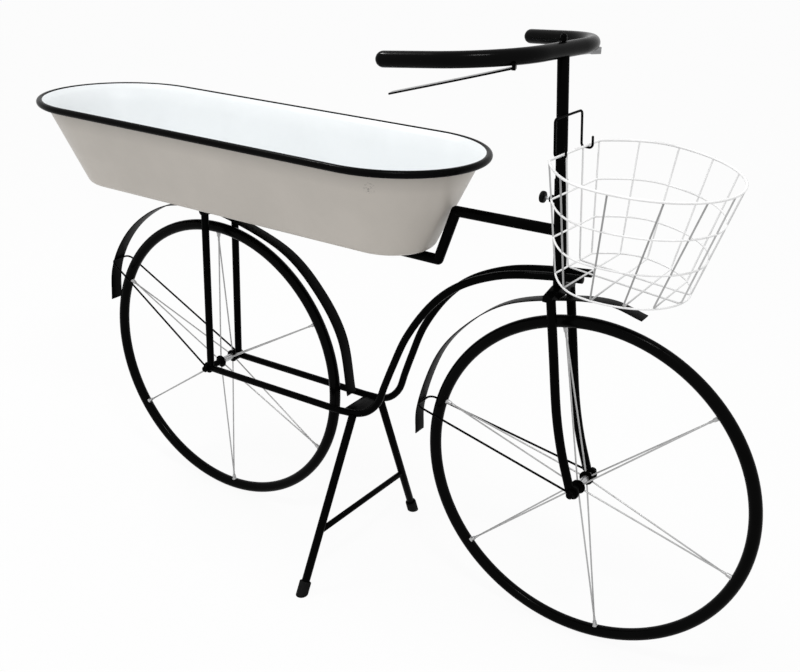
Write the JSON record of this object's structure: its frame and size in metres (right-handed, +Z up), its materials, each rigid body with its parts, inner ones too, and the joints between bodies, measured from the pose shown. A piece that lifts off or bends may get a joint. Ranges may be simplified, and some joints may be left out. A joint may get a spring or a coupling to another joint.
{
  "type": "bicycle planter",
  "caption": "Garden planter shaped like an old bicycle, with a long enamelled tub over the rear wheel and a wire basket on the handlebar.",
  "frame": {"origin": "middle of the footprint on the ground, under the rings and the stand feet", "axes": "+X forward along the bicycle, +Y towards its left side, +Z up"},
  "size_m": [1.5692, 0.4638, 1.0657],
  "materials": {
    "frame_black": "gloss black paint",
    "ring_black": "gloss black paint",
    "guard_black": "satin black paint",
    "spoke_silver": "bright wire",
    "lever_silver": "bright strip",
    "zinc": "zinc plated",
    "tub_enamel": "warm white enamel with a black rim",
    "white_wire": "white coating",
    "foot_rubber": "matt black",
    "knob_plastic": "matt black"
  },
  "bodies": {
    "frame": {"rear_axle": "zinc", "rear_axle_nut_left": "frame_black", "rear_axle_nut_right": "frame_black", "front_axle": "zinc", "front_axle_nut_left": "frame_black", "front_axle_nut_right": "frame_black", "stay_left": "frame_black", "main_tube_left": "frame_black", "stay_right": "frame_black", "main_tube_right": "frame_black", "cross_bar": "frame_black", "tub_rail": "frame_black", "rail_strut": "frame_black", "top_tube": "frame_black", "frame_bridge": "frame_black", "head_tube": "frame_black", "fork_crown": "frame_black", "fork_leg_left": "frame_black", "fork_leg_right": "frame_black", "rear_mudguard": "guard_black", "front_mudguard": "guard_black", "rear_mudguard_stay": "guard_black", "front_mudguard_stay": "guard_black", "stand_leg_right": "frame_black", "stand_leg_left": "frame_black", "stand_bar": "frame_black", "stand_foot_right": "foot_rubber", "stand_foot_left": "foot_rubber", "tub": "tub_enamel", "tub_bolt_1": "zinc", "tub_bolt_2": "zinc"},
    "rear_wheel": {"rear_wheel_ring": "ring_black", "rear_hub": "frame_black", "rear_spoke_pair_1": "spoke_silver", "rear_spoke_pair_2": "spoke_silver", "rear_spoke_pair_3": "spoke_silver", "rear_spoke_pair_4": "spoke_silver", "rear_spoke_pair_5": "spoke_silver", "rear_spoke_pair_6": "spoke_silver"},
    "front_wheel": {"front_wheel_ring": "ring_black", "front_hub": "frame_black", "front_spoke_pair_1": "spoke_silver", "front_spoke_pair_2": "spoke_silver", "front_spoke_pair_3": "spoke_silver", "front_spoke_pair_4": "spoke_silver", "front_spoke_pair_5": "spoke_silver", "front_spoke_pair_6": "spoke_silver"},
    "clamp": {"clamp_screw": "zinc", "clamp_knob": "knob_plastic"},
    "stem": {"stem": "frame_black"},
    "handlebar": {"handlebar": "frame_black", "handlebar_bolt": "frame_black", "brake_lever_left": "lever_silver", "brake_lever_right": "lever_silver", "lever_bracket_left": "frame_black", "lever_bracket_right": "frame_black", "basket_hooks": "frame_black"},
    "basket": {"basket": "white_wire"}
  },
  "joints": [
    {"name": "rear_wheel_spin", "type": "hinge", "parent": "frame", "child": "rear_wheel", "pos_m": [-0.36438, -0.00428, 0.311], "axis": [0, 1, 0], "continuous": true},
    {"name": "front_wheel_spin", "type": "hinge", "parent": "frame", "child": "front_wheel", "pos_m": [0.47362, -0.00428, 0.311], "axis": [0, 1, 0], "continuous": true},
    {"name": "clamp_turn", "type": "hinge", "parent": "frame", "child": "clamp", "pos_m": [0.36076, -0.00428, 0.807], "axis": [-1, 0, 0], "range_deg": [0, 1080]},
    {"name": "stem_height", "type": "slide", "parent": "frame", "child": "stem", "axis": [-0.0913, 0, 0.9958], "range_m": [0, 0.08]},
    {"name": "steering_turn", "type": "hinge", "parent": "stem", "child": "handlebar", "pos_m": [0.3577, -0.00428, 1.041], "axis": [-0.0913, 0, 0.9958], "range_deg": [-38, 52]},
    {"name": "basket_lift", "type": "slide", "parent": "handlebar", "child": "basket", "axis": [-0.0913, 0, 0.9958], "range_m": [0, 0.04]}
  ]
}
